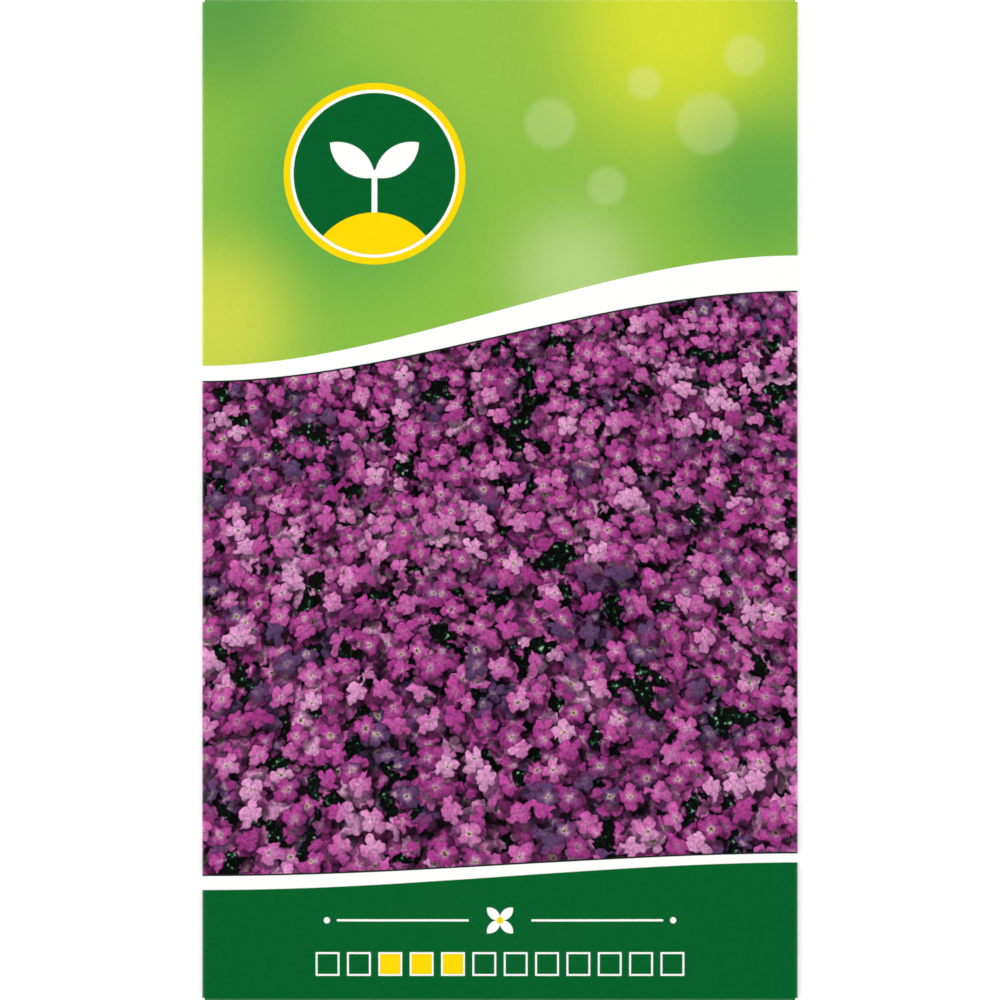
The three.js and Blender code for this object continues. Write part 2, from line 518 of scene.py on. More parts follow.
@dataclass(frozen=True)
class FlowerLayer:
    """One layer of the pictured flowers: where its cells lie, and how much light reaches it."""

    shift: Triple
    light: float


@dataclass(frozen=True)
class FlowerCarpet:
    """The pictured carpet of small flowers with four petals, in layers over dark gaps.

    Lengths are in millimetres. The first inks of a ramp are those of its lowest values.
    """

    pitch: float = 4.4
    scatter: float = 0.8
    half_flower: Pair = (0.85 * 2.05, 1.2 * 2.05)
    lean_stretch: float = 1.8
    notch: float = 0.36
    petal_power: float = 6.0
    lopsided: float = 0.1
    edge: float = 0.14
    ruffle: float = 0.9
    ruffle_reach: float = 0.65
    far_shrink: float = 0.0035
    near_edge: float = -12.0
    eye_leans: Pair = (0.07, 0.79)
    light_way: Triple = (-0.07, 0.11, 0.0)
    fold_light: float = 0.72
    rim: float = 0.4
    rim_light: float = 0.66
    shadow_way: Triple = (0.25, -0.35, 0.0)
    shadow_fade: Pair = (-0.3, 0.55)
    shadow_light: float = 0.3
    patches: Wander = Wander(13.0, 1.3, -0.65)
    crowds: Wander = Wander(6.5, 3.6, -0.66, held=True)
    leaves: Wander = Wander(1.0)
    grain: Wander = Wander(0.5, base=0.5)
    layers: tuple[FlowerLayer, ...] = (
        FlowerLayer((3.1, 7.7, 0.0), 0.6),
        FlowerLayer((221.4, 31.9, 0.0), 0.72),
        FlowerLayer((108.8, 233.2, 0.0), 0.84),
        FlowerLayer((347.3, 112.6, 0.0), 0.94),
        FlowerLayer((416.9, 351.8, 0.0), 1.0),
        FlowerLayer((563.2, 429.5, 0.0), 1.05),
    )
    petal_inks: Stops = (
        (0.0, "#573a62"),
        (0.08, "#75386c"),
        (0.2, "#922f79"),
        (0.5, "#aa3f8c"),
        (0.74, "#b8569c"),
        (0.9, "#c573ab"),
        (1.0, "#cf8cba"),
    )
    eye_inks: Stops = (
        (0.05, "#3a3a1cf0"),
        (0.12, "#b9b877c0"),
        (0.2, "#e0bcd680"),
        (0.34, "#dca2c840"),
        (0.6, "#c978b000"),
    )
    gap_inks: Stops = (
        (0.42, "#050605"),
        (0.56, "#080f0b"),
        (0.65, "#12281a"),
        (0.72, "#2c5a42"),
        (0.8, "#8aa58c"),
    )

    def picture(self, inks: InkStack, place: Node) -> Node:
        """Adds the picture's colour.

        Args:
            inks: The print that takes it.
            place: The place on the print.

        Returns:
            The node that gives the colour.
        """
        given = {"Place": self._drawn_far(inks, place)}
        given["Patch"] = self.patches.add_to(inks, place)
        given["Crowd"] = self.crowds.add_to(inks, place)
        below = inks.add(Kind.RAMP, [self.leaves.add_to(inks, place)], stops=self.gap_inks)
        group = self._layer_group()
        for layer in self.layers:
            given |= {"Below": below, "Shift": layer.shift, "Light": layer.light}
            below = inks.add(Kind.GROUP, given, node_tree=group)
        return inks.add(Kind.SCALED, {"Vector": below, "Scale": self.grain.add_to(inks, place)})

    def _drawn_far(self, inks: InkStack, place: Node) -> Node:
        """Adds the place as the flowers see it: spread wider towards the top, where they look smaller."""
        split = inks.add(Kind.SPLIT, [place])
        up = inks.add(Kind.MINUS, [split.outputs["Y"], self.near_edge])
        wide = inks.add(Kind.TIMES_PLUS, [up, self.far_shrink, 1.0])
        across = inks.add(Kind.TIMES, [split.outputs["X"], wide])
        square = inks.add(Kind.TIMES, [up, up])
        along = inks.add(Kind.TIMES_PLUS, [square, self.far_shrink / 2, up])
        drawn = inks.add(Kind.JOIN, {"X": across, "Y": along})
        # The petals' edges are ruffled, so the place wanders a little at their scale
        ruffles = inks.texture(Kind.FLAT_NOISE, place, self.ruffle, Detail=0.0)
        reach = (self.ruffle_reach, self.ruffle_reach, 0.0)
        return inks.add(Kind.PLACE_TIMES_PLUS, [ruffles.outputs["Color"], reach, drawn])

    def _layer_group(self) -> NodeTree:
        """Makes the group that prints one layer of flowers over what is below it."""
        layer = Recipe(bpy.data.node_groups.new("flower_layer", "ShaderNodeTree"))
        kinds = {"Place": "Vector", "Shift": "Vector", "Light": "Float"}
        kinds |= {"Patch": "Float", "Crowd": "Float", "Below": "Color"}
        for name, kind in kinds.items():
            layer.tree.interface.new_socket(name, in_out="INPUT", socket_type=f"NodeSocket{kind}")
        layer.tree.interface.new_socket("Colour", in_out="OUTPUT", socket_type="NodeSocketColor")
        given = layer.add(Kind.GIVEN).outputs
        moved = layer.add(Kind.PLACE_PLUS, [given["Place"], given["Shift"]])
        cells = layer.texture(Kind.FLAT_CELLS, moved, self.pitch, Randomness=self.scatter)
        offset = layer.add(Kind.PLACE_MINUS, [moved, cells.outputs["Position"]])
        chance = layer.add(Kind.SPLIT, [cells.outputs["Color"]]).outputs
        lean = layer.add(Kind.TIMES, [chance["Y"], chance["Y"]])
        faced = self._faced(layer, offset, chance["X"], lean)
        square = layer.add(Kind.DOT, [faced, faced])
        distance = layer.add(Kind.ROOT, [square])
        split = layer.add(Kind.SPLIT, [faced]).outputs
        # Half the sine of twice the angle round the flower, which is 0.5 or -0.5 between two petals
        between = layer.add(Kind.TIMES, [split["X"], split["Y"]])
        between = layer.add(Kind.DIVIDED, [between, square])
        between = layer.add(Kind.POWER, [between, self.petal_power])
        size = layer.add(Kind.LINE, [chance["Y"], 0.0, 1.0, *self.half_flower])
        size = layer.add(Kind.TIMES, [size, given["Crowd"]])
        outline = self._from_petal(layer, between, 1 - self.notch)
        reach = layer.add(Kind.TIMES, [outline, size])
        reach = layer.add(Kind.TIMES_PLUS, [split["X"], self.lopsided, reach])
        depth = layer.add(Kind.MINUS, [reach, distance])
        petal = layer.add(Kind.PLUS, [chance["Z"], given["Patch"]], use_clamp=True)
        petal = layer.add(Kind.RAMP, [petal], stops=self.petal_inks)
        eye = layer.add(Kind.RAMP, [layer.add(Kind.DIVIDED, [distance, size])], stops=self.eye_inks)
        seen = layer.add(Kind.RANGE, [lean, *self.eye_leans, 1.0, 0.0])
        seen = layer.add(Kind.TIMES, [seen, eye.outputs["Alpha"]])
        petal = layer.add(Kind.MIX, [seen, petal, eye])
        light = self._petal_light(layer, offset, between, depth)
        light = layer.add(Kind.TIMES, [light, given["Light"]])
        petal = layer.add(Kind.SCALED, {"Vector": petal, "Scale": light})
        # A soft shadow falls on the flowers below, to the lower right
        shadow = layer.add(Kind.DISTANCE, [offset, self.shadow_way])
        shadow = layer.add(Kind.MINUS, [shadow, size])
        shadow = layer.add(Kind.FADE, [shadow, *self.shadow_fade, self.shadow_light, 1.0])
        below = layer.add(Kind.SCALED, {"Vector": given["Below"], "Scale": shadow})
        mask = layer.add(Kind.RANGE, [depth, -self.edge / 2, self.edge / 2])
        laid = layer.add(Kind.MIX, [mask, below, petal])
        layer.add(Kind.RESULT, {"Colour": laid})
        return layer.tree

    def _from_petal(self, layer: Recipe, between: Node, least: float) -> Node:
        """Adds a share that is 1 along a petal's middle and the least one between two petals."""
        return layer.add(Kind.LINE, [between, 0.0, 0.5**self.petal_power, 1.0, least])

    def _faced(self, layer: Recipe, offset: Node, turn: NodeSocket, lean: Node) -> Node:
        """Adds the place on a flower as seen face on: one that leans away is drawn narrower one way.

        Args:
            layer: The layer's recipe.
            offset: The place from the flower's middle.
            turn: The share of a full turn that the flower is turned by.
            lean: How far it leans away, from 0 to 1.

        Returns:
            The place on the flower.
        """
        way = layer.add(Kind.TIMES, [turn, math.tau])
        turned = layer.add(Kind.TURNED, {"Vector": offset, "Angle": way})
        narrow = layer.add(Kind.LINE, [lean, 0.0, 1.0, 1.0, self.lean_stretch])
        return layer.add(Kind.PLACE_TIMES, [turned, layer.add(Kind.JOIN, {"X": 1.0, "Y": narrow})])

    def _petal_light(self, layer: Recipe, offset: Node, between: Node, depth: Node) -> Node:
        """Adds the light on a flower: brighter to the upper left, darker between petals and at the rim.

        Args:
            layer: The layer's recipe.
            offset: The place from the flower's middle.
            between: How near a place is to the line between two petals.
            depth: How far in from the outline it is.

        Returns:
            The light, about 1.
        """
        side = layer.add(Kind.DOT, [offset, self.light_way])
        fold = self._from_petal(layer, between, self.fold_light)
        rim = layer.add(Kind.FADE, [depth, 0.0, self.rim, self.rim_light, 1.0])
        return layer.add(Kind.TIMES, [layer.add(Kind.TIMES_PLUS, [side, fold, fold]), rim])


@dataclass(frozen=True)
class FrontPrint(CoatedPaper):
    """Satin coated paper with the front's four-colour print.

    Places and sizes are in millimetres on the flat blank, from the middle of the front. Where a pair is
    an edge, it is a curve's height at the left and at the right. A drop is how far something lies below
    the badge's middle, and a leaf or petal is its angle, length and half breadth.
    """

    half_width: float = 47.5
    head_edge: Pair = (21.4, 39.0)
    picture_top: Pair = (19.0, 33.4)
    picture_foot: Pair = (-60.0, -56.4)
    foot_top: Pair = (-62.2, -57.8)
    frame_line: float = 0.28
    line_ink: str = "#12261c"
    light_ink: str = "#f4f8c8"
    light_strength: float = 0.16
    light_edge: float = 1.2
    badge: Pair = (-20.0, 52.0)
    badge_radius: float = 14.5
    badge_rim: float = 1.6
    badge_line: float = 0.5
    stem_drop: float = 3.0
    stem_half: Pair = (0.45, 3.6)
    seed_leaf: Triple = (52.0, 9.0, 2.1)
    leaf_drop: float = 0.6
    mound_drop: float = 17.0
    mound_radius: float = 10.8
    ornament: Pair = (0.0, -67.0)
    petal: Triple = (45.0, 2.9, 0.75)
    eye_radius: float = 0.55
    rule_middle: float = 15.5
    rule_half: Pair = (10.5, 0.17)
    dot_middle: float = 27.6
    dot_radius: float = 0.5
    month_box: float = 3.8
    month_pitch: float = 5.0
    month_line: float = 0.3
    months_y: float = -74.0
    sowing_middle: float = 3.0
    sowing_reach: float = 1.5

    def material(self) -> Material:
        """Makes the printed paper of the bag's front."""
        inks = InkStack("satin_coated_paper_front_print", self.light_green)
        place = inks.add(Kind.MAP, uv_map="Blank")
        for lay in (self._head, self._badge, self._bands, self._ornament, self._months):
            lay(inks, place)
        return self.coated(inks)

    def _bands(self, inks: InkStack, place: Node) -> None:
        """Lays the white band, the framed picture and the foot, each cut off by a soft wave."""
        split = inks.add(Kind.SPLIT, [place]).outputs
        rows = (
            (self.head_edge, 0.0, self.white),
            (self.picture_top, 0.0, self.line_ink),
            (self.picture_top, -self.frame_line, FlowerCarpet().picture(inks, place)),
            (self.picture_foot, self.frame_line, self.line_ink),
            (self.picture_foot, 0.0, self.white),
            (self.foot_top, 0.0, self.dark_green),
        )
        for (left, right), lift, ink in rows:
            ends = (-self.half_width, self.half_width, left + lift, right + lift)
            level = inks.add(Kind.FADE, [split["X"], *ends])
            inks.lay(inks.over(level, split["Y"]), ink)

    def _head(self, inks: InkStack, place: Node) -> None:
        """Lays the head's soft greens, as of leaves far out of focus, with a few pale discs of light."""
        glows = (
            (28.0, 77.0, 33.0, "#d9e02f", 0.95),
            (-24.0, 50.0, 30.0, "#3da046", 0.75),
            (-46.0, 28.0, 22.0, "#d3d94c", 0.9),
            (-4.0, 72.0, 26.0, "#98c341", 0.6),
            (-44.0, 80.0, 26.0, "#559a45", 0.9),
            (12.0, 36.0, 18.0, "#b9d586", 0.8),
            (42.0, 50.0, 22.0, "#5aa546", 0.85),
        )
        for *centre, radius, ink, strength in glows:
            fading = [inks.reach(place, centre), radius, 0.0, 0.0, strength]
            inks.lay(inks.add(Kind.GLOW, fading), ink)
        lights = (33.0, 60.0, 5.4), (23.0, 66.5, 3.2), (8.0, 60.0, 4.6), (39.0, 71.0, 3.8), (17.0, 50.0, 3.6)
        for *centre, radius in lights:
            fading = [inks.reach(place, centre), radius, radius - self.light_edge, 0.0, self.light_strength]
            inks.lay(inks.add(Kind.RANGE, fading), self.light_ink)

    def _badge(self, inks: InkStack, place: Node) -> None:
        """Lays a round badge with a seedling of two leaves on a mound."""
        x, y = self.badge
        inner = self.badge_radius - self.badge_rim
        rings = ((self.badge_radius, self.yellow), (inner + self.badge_line, self.white))
        for radius, ink in (*rings, (inner, self.dark_green)):
            inks.lay(inks.disc(place, self.badge, radius), ink)
        inks.lay(inks.bar(place, (x, y - self.stem_drop), self.stem_half), self.white)
        turn, *leaf = self.seed_leaf
        for side in Side:
            inks.lay(inks.leaf(place, (x, y - self.leaf_drop), 90 - side.value * turn, *leaf), self.white)
        mound = inks.disc(place, (x, y - self.mound_drop), self.mound_radius)
        inks.lay(inks.both(mound, inks.disc(place, self.badge, inner)), self.yellow)

    def _ornament(self, inks: InkStack, place: Node) -> None:
        """Lays a small flower of four leaves between two rules on the foot."""
        # Its four quarters are alike, so one is drawn for all
        quarter = inks.quarter(place, self.ornament)
        middle = (0.0, 0.0)
        inks.lay(inks.leaf(quarter, middle, *self.petal), self.white)
        inks.lay(inks.disc(quarter, middle, self.eye_radius), self.yellow)
        inks.lay(inks.bar(quarter, (self.rule_middle, 0.0), self.rule_half), self.white)
        inks.lay(inks.disc(quarter, (self.dot_middle, 0.0), self.dot_radius), self.white)

    def _months(self, inks: InkStack, place: Node) -> None:
        """Lays a row of month boxes on the foot, with those of sowing filled."""
        split = inks.add(Kind.SPLIT, [place]).outputs
        counted = inks.add(Kind.TIMES_PLUS, [split["X"], 1 / self.month_pitch, MONTHS / 2])
        month = inks.add(Kind.WHOLE, [counted])
        across = inks.add(Kind.TIMES, [inks.add(Kind.FRACTION, [counted]), self.month_pitch])
        box_place = inks.add(Kind.JOIN, {"X": across, "Y": split["Y"]})
        middle = (self.month_pitch / 2, self.months_y)
        row = inks.bar(place, (0.0, self.months_y), (MONTHS / 2 * self.month_pitch, self.month_box))
        half = self.month_box / 2
        inks.lay(inks.both(row, inks.bar(box_place, middle, (half, half))), self.white)
        half -= self.month_line
        core = inks.both(row, inks.bar(box_place, middle, (half, half)))
        inks.lay(core, self.dark_green)
        sowing = inks.add(Kind.NEAR, [month, self.sowing_middle, self.sowing_reach])
        inks.lay(inks.both(core, sowing), self.yellow)


@dataclass(frozen=True)
class BackPrint(CoatedPaper):
    """The same satin coated paper, cream on the back, with a planting table and no words.

    Places are in millimetres on the finished back, from its middle, so the folded halves' prints meet.
    A leaf, which also makes the drop of water, is its foot, then its angle, length and half breadth.
    """

    cream: str = "#f4f1e4"
    rule_ink: str = "#7c8f6c"
    sun_ink: str = "#e2b93a"
    rule: float = 0.1
    table_foot: float = 22.0
    table_row: float = 5.0
    table_bar: float = 1.5
    column: float = 6.0
    signs_y: float = 4.0
    sign_pitch: float = 18.0
    sign_radius: float = 6.5
    sign_line: float = 0.4
    sun_radius: float = 2.6
    leaves: tuple[tuple[Pair, Triple, str], ...] = (
        ((-9.0, 0.2), (90.0, 7.6, 2.0), "#4c8fb8"),
        ((9.0, 2.4), (40.0, 4.6, 1.2), "#02602a"),
        ((9.0, 2.4), (140.0, 4.6, 1.2), "#02602a"),
        ((23.8, 1.6), (90.0, 4.8, 0.9), "#02602a"),
        ((27.0, 1.6), (90.0, 4.8, 0.9), "#02602a"),
        ((30.2, 1.6), (90.0, 4.8, 0.9), "#02602a"),
    )
    lines: int = 7
    first_line: float = -14.0
    line_pitch: float = 6.0
    line_half: float = 36.0
    flap_start: float = 80.5

    def material(self) -> Material:
        """Makes the printed paper of the bag's back and flaps."""
        inks = InkStack("satin_coated_paper_back_print", self.cream)
        at = inks.add(Kind.COORDINATES).outputs["Object"]
        place = inks.add(Kind.SCALED, {"Vector": at, "Scale": 1 / MM})
        self._table(inks, place)
        self._signs(inks, place)
        self._flaps(inks)
        return self.coated(inks)

    def _table(self, inks: InkStack, place: Node) -> None:
        """Lays a table of the months, with one bar for each of three jobs."""
        half = MONTHS / 2 * self.column
        bars = ((-12.0, 12.0, self.sun_ink), (3.0, 9.0, "#4f9a4a"), (18.0, 12.0, "#b04792"))
        for row, (middle, reach, ink) in enumerate(bars):
            high = self.table_foot + (row + 0.5) * self.table_row
            inks.lay(inks.bar(place, (middle, high), (reach, self.table_bar)), ink)
        for row in range(len(bars) + 1):
            high = self.table_foot + row * self.table_row
            inks.lay(inks.bar(place, (0.0, high), (half, self.rule)), self.rule_ink)
        half_table = len(bars) / 2 * self.table_row
        for column in range(MONTHS + 1):
            middle = (column * self.column - half, self.table_foot + half_table)
            inks.lay(inks.bar(place, middle, (self.rule, half_table)), self.rule_ink)

    def _signs(self, inks: InkStack, place: Node) -> None:
        """Lays four round signs, a sun, a drop, a seedling and a row of plants, over empty rules."""
        for sign in range(4):
            middle = ((sign - 1.5) * self.sign_pitch, self.signs_y)
            inks.lay(inks.disc(place, middle, self.sign_radius), self.dark_green)
            inks.lay(inks.disc(place, middle, self.sign_radius - self.sign_line), self.cream)
        inks.lay(inks.disc(place, (-1.5 * self.sign_pitch, self.signs_y), self.sun_radius), self.sun_ink)
        for foot, leaf, ink in self.leaves:
            inks.lay(inks.leaf(place, foot, *leaf), ink)
        for line in range(self.lines):
            middle = (0.0, self.first_line - line * self.line_pitch)
            inks.lay(inks.bar(place, middle, (self.line_half, self.rule)), self.rule_ink)

    def _flaps(self, inks: InkStack) -> None:
        """Lays the head's green on the top flap and the foot's on the bottom one, where they run on."""
        along = inks.add(Kind.SPLIT, [inks.add(Kind.MAP, uv_map="Blank")]).outputs["Y"]
        inks.lay(inks.over(along, self.flap_start), self.light_green)
        inks.lay(inks.over(-self.flap_start, along), self.dark_green)


@dataclass(frozen=True)
class BarePaper:
    """The paper's uncoated inner face and cut edges: dull, a little warm, with fibres that show."""

    colour: str = "#efebe0"
    shade: str = "#e2dccd"
    fibre: float = 0.5

    def material(self) -> Material:
        """Makes the bare paper."""
        paper = Finish("uncoated_paper")
        place = paper.add(Kind.COORDINATES).outputs["Object"]
        fibres = paper.texture(Kind.NOISE, place, self.fibre * MM, Detail=4.0)
        colour = paper.add(Kind.RAMP, [fibres], stops=((0.35, self.shade), (0.6, self.colour)))
        relief = paper.relief(fibres, strength=0.4, depth=0.02)
        return paper.close(Base_Color=colour, Normal=relief, IOR=1.5, Roughness=0.85)


@dataclass(frozen=True)
class SetAdhesive:
    """Dispersion adhesive that has set in a thin film: cream, smooth, cloudy, with small bubbles."""

    colour: str = "#e9e3cf"
    cloud: str = "#f6f2e4"
    bubble: float = 0.9

    def material(self) -> Material:
        """Makes the set adhesive."""
        film = Finish("dispersion_adhesive")
        place = film.add(Kind.COORDINATES).outputs["Object"]
        cells = film.texture(Kind.CELLS, place, self.bubble * MM)
        colour = film.add(Kind.RAMP, [cells], stops=((0.1, self.cloud), (0.4, self.colour)))
        relief = film.relief(cells, strength=0.3, depth=0.02)
        return film.close(Base_Color=colour, Normal=relief, IOR=1.47, Roughness=0.35)


@dataclass(frozen=True)
class FoilLaminate:
    """Rolled aluminium foil under a clear film: a satin metal with faint rolling lines."""

    colour: str = "#d3d5d8"
    shade: str = "#b9bcc0"
    roughness: Pair = (0.24, 0.38)
    rolling_line: float = 0.4
    line_stretch: float = 0.04

    def material(self) -> Material:
        """Makes the foil laminate."""
        foil = Finish("rolled_aluminium_foil")
        place = foil.add(Kind.COORDINATES).outputs["Object"]
        lines = foil.add(Kind.PLACE_TIMES, [place, (1.0, self.line_stretch, 1.0)])
        rolled = foil.texture(Kind.NOISE, lines, self.rolling_line * MM, Detail=3.0)
        return foil.close(
            Base_Color=foil.add(Kind.RAMP, [rolled], stops=((0.3, self.shade), (0.6, self.colour))),
            Roughness=foil.add(Kind.RANGE, [rolled, *NOISE_REACH, *self.roughness]),
            Normal=foil.relief(rolled, strength=0.2, depth=0.01),
            Metallic=1.0,
            Coat_Weight=0.4,
            Coat_Roughness=0.2,
        )


@dataclass(frozen=True)
class SeedCoat:
    """The dry coat of a small seed: dull red-brown, finely pitted, paler on some seeds."""

    dark: str = "#5a3520"
    pale: str = "#9a6a42"
    seed: float = 1.2
    pit: float = 0.12

    def material(self) -> Material:
        """Makes the seed coat."""
        coat = Finish("dry_seed_coat")
        place = coat.add(Kind.COORDINATES).outputs["Object"]
        tone = coat.texture(Kind.NOISE, place, self.seed * MM, Detail=1.0)
        pits = coat.texture(Kind.NOISE, place, self.pit * MM, Detail=2.0)
        mixed = coat.add(Kind.TIMES_PLUS, [pits, 0.3, tone])
        colour = coat.add(Kind.RAMP, [mixed], stops=((0.5, self.dark), (0.85, self.pale)))
        relief = coat.relief(pits, strength=0.5, depth=0.03)
        return coat.close(Base_Color=colour, Normal=relief, IOR=1.45, Roughness=0.7)


@dataclass(frozen=True)
class BakePatch:
    """A stretch of the flat blank, and where the bag's texture map has it, in shares of the map."""

    flat: Pair
    corner: Pair
    scale: float

    def place(self, across: float, along: float) -> Pair:
        """Returns where a place of the blank, in millimetres, lies in the map."""
        u, v = self.corner
        return u + (across - self.flat[0]) * self.scale, v + (along - self.flat[1]) * self.scale


@dataclass(frozen=True)
class FoldedBag:
    """The outer bag, folded from one blank: front, side folds, a seam down the back, and two flaps.

    The fields that start with map are places in the bag's texture map, in shares of the map.
    """

    sizes: BagSizes
    cell: float = 1.6 * MM
    back_cell: float = 2.4 * MM
    bend_steps: int = 8
    seam_steps: int = 6
    flap_steps: int = 8
    buckle: float = 0.3 * MM
    buckle_width: float = 9 * MM
    buckle_length: float = 24 * MM
    buckle_draw: float = 0.37
    across_flatness: float = 2.6
    along_flatness: float = 3.0
    map_margin: float = 0.004
    map_left: float = 0.602
    map_right: float = 0.800
    map_flaps: Pair = (0.592, 0.650)
    map_inside: float = 0.712
    map_rim: Pair = (0.93, 0.845)
    map_rim_size: Pair = (0.02, 0.13)
    back_scale: float = 0.0036
    inside_scale: float = 0.0014

    def build(self) -> Object:
        """Cuts, prints, folds and thickens the blank, and returns the finished bag."""
        blank = self._blank()
        for corner in blank.verts:
            corner.co = self._folded(corner.co.x, corner.co.y)
        faces = len(blank.faces)
        finishes = (FrontPrint().material(), BackPrint().material(), BarePaper().material())
        bag = as_object("paper_bag", blank, *finishes)
        thicken(bag, self.sizes.paper)
        self._map(bag.data, faces)
        return bag

    def _half_columns(self) -> list[float]:
        """Lists where the blank's lines lie on one side, from the front out to the seam's edge."""
        sizes = self.sizes
        step_start = sizes.back_end - sizes.seam_overlap - sizes.paper - sizes.seam_step_run
        step_end = step_start + sizes.seam_step_run
        cells = round((step_start - sizes.back_start) / self.back_cell)
        return stations(
            (sizes.half_width, sizes.back_start, self.bend_steps),
            (sizes.back_start, step_start, cells),
            (step_start, step_end, self.seam_steps),
            (step_end, sizes.back_end, self.seam_steps),
        )

    def _half_rows(self) -> list[float]:
        """Lists where the blank's lines lie at one end, from the front out to the flap's edge."""
        sizes = self.sizes
        crease = (sizes.half_length, sizes.flap_start, self.bend_steps)
        return stations(crease, (sizes.flap_start, sizes.flap_end, self.flap_steps))

    def _lines(self, half_panel: float, beyond: list[float]) -> list[float]:
        """Lists all lines one way: over the front between the two outer stretches, which mirror."""
        panel = stations((-half_panel, half_panel, round(2 * half_panel / self.cell)))
        return [-place for place in reversed(beyond)] + panel[1:-1] + beyond

    def _blank(self) -> BMesh:
        """Cuts the flat blank, and keeps each corner's flat place, in millimetres, as a map."""
        sizes = self.sizes
        across = self._lines(sizes.half_width, self._half_columns())
        along = self._lines(sizes.half_length, self._half_rows())
        blank = flat_sheet(across, along)
        waste = []
        for face in blank.faces:
            middle = face.calc_center_median()
            if abs(middle.y) > sizes.half_length and abs(middle.x) > sizes.half_width:
                waste.append(face)
        bmesh.ops.delete(blank, geom=waste, context="FACES")
        flat = blank.loops.layers.uv.new("Blank")
        for face in blank.faces:
            for loop in face.loops:
                loop[flat].uv = loop.vert.co.xy / MM
        return blank

    def _fullness(self, x: float, y: float) -> float:
        """Returns how full the front is at a place, from 0 along its edges to 1 over the sachet."""
        middle = self.sizes.swell_middle
        end = math.copysign(self.sizes.half_length, y - middle)
        across = swell(x / self.sizes.half_width, self.across_flatness)
        return across * swell((y - middle) / (end - middle), self.along_flatness)

    def _front(self, x: float, y: float) -> Vector:
        """Returns where a place of the front goes: up with the swell, and in low buckles on its slopes."""
        full = self._fullness(x, y)
        rise = (self.sizes.height - self.sizes.edge_height) * full
        wave = noise.noise(Vector((x / self.buckle_width, y / self.buckle_length, self.buckle_draw)))
        return Vector((x, y, self.sizes.edge_height + rise + self.buckle * wave * halfway(full)))

    def _folded(self, across: float, along: float) -> Vector:
        """Returns where the outer side of a place of the flat blank goes.

        Args:
            across: The place from the middle line of the front.
            along: The place from the middle of its length.

        Returns:
            The place on the folded bag.
        """
        sizes = self.sizes
        beyond = abs(along) - sizes.half_length
        if beyond > HAIR:
            return self._flap(across, along, beyond)
        bent = abs(across) - sizes.half_width
        if bent <= HAIR:
            return self._front(across, along)
        radius = sizes.side_radius
        turn = min(bent / sizes.side_bend, 1.0) * math.pi
        run = max(bent - sizes.side_bend, 0.0)
        x = math.copysign(1.0, across) * (sizes.half_width - run + radius * math.sin(turn))
        step_end = -sizes.seam_overlap / 2 - sizes.paper
        step_start = step_end - sizes.seam_step_run
        rise = 0.0
        if across < 0:
            rise = (sizes.paper + sizes.glue) * ease((x - step_start) / (step_end - step_start))
        middle = sizes.edge_height - radius
        return Vector((x, along, middle + radius * math.cos(turn) + rise))

    def _flap(self, across: float, along: float, beyond: float) -> Vector:
        """Returns where a place of a flap goes: round the crease and back under the bag.

        Args:
            across: The place from the middle line.
            along: The place from the middle of the length.
            beyond: How far that is past the crease's start.

        Returns:
            The place on the folded flap.
        """
        sizes = self.sizes
        radius = sizes.crease_radius
        turn = min(beyond / sizes.crease_bend, 1.0) * math.pi
        run = max(beyond - sizes.crease_bend, 0.0)
        narrowed = 1 - (sizes.flap_taper / sizes.half_width) * (run / sizes.flap_length)
        y = math.copysign(sizes.half_length - run + radius * math.sin(turn), along)
        return Vector((across * narrowed, y, radius + radius * math.cos(turn)))

    def _map(self, mesh: Mesh, faces: int) -> None:
        """Gives each face its paper, and its own place in the texture map.

        The thickened sheet lists its outer faces first, then as many inner ones, then the cut edges.

        Args:
            mesh: The bag's mesh.
            faces: How many faces the outer side has.
        """
        sizes = self.sizes
        front_end, blank_end = sizes.back_start / MM, sizes.back_end / MM
        flap_start, flap_end = sizes.flap_start / MM, sizes.flap_end / MM
        flap_side = sizes.half_width / MM
        low, left, scale = self.map_margin, self.map_left, self.back_scale
        front_scale = (1 - 2 * low) / (2 * flap_start)
        front = BakePatch((-front_end, -flap_start), (low, low), front_scale)
        halves = {
            Side.LEFT: BakePatch((-blank_end, -flap_start), (left, low), scale),
            Side.RIGHT: BakePatch((front_end, -flap_start), (self.map_right, low), scale),
        }
        flaps = {
            End.BOTTOM: BakePatch((-flap_side, -flap_end), (left, self.map_flaps[0]), scale),
            End.TOP: BakePatch((-flap_side, flap_start), (left, self.map_flaps[1]), scale),
        }
        inside = BakePatch((-blank_end, -flap_end), (left, self.map_inside), self.inside_scale)
        flat = mesh.uv_layers["Blank"].data
        bake = mesh.uv_layers.new(name="OFBake").data
        outer_corners = len(mesh.vertices) // 2
        for face in mesh.polygons:
            places = [flat[loop].uv for loop in face.loop_indices]
            across, along = sum(places, Vector((0.0, 0.0))) / len(places)
            if face.index >= 2 * faces:
                face.material_index = Paper.BARE
                for loop, place in zip(face.loop_indices, places):
                    inner = mesh.loops[loop].vertex_index >= outer_corners
                    shares = (inner, (place.x + place.y) / (blank_end + flap_end))
                    sides = zip(self.map_rim, self.map_rim_size, shares)
                    bake[loop].uv = [start + size * share for start, size, share in sides]
                continue
            if face.index >= faces:
                face.material_index, patch = Paper.BARE, inside
            elif abs(along) > flap_start:
                face.material_index, patch = Paper.BACK, flaps[End.TOP if along > 0 else End.BOTTOM]
            elif abs(across) > front_end:
                face.material_index, patch = Paper.BACK, halves[Side.RIGHT if across > 0 else Side.LEFT]
            else:
                face.material_index, patch = Paper.FRONT, front
            for loop, place in zip(face.loop_indices, places):
                bake[loop].uv = patch.place(place.x, place.y)


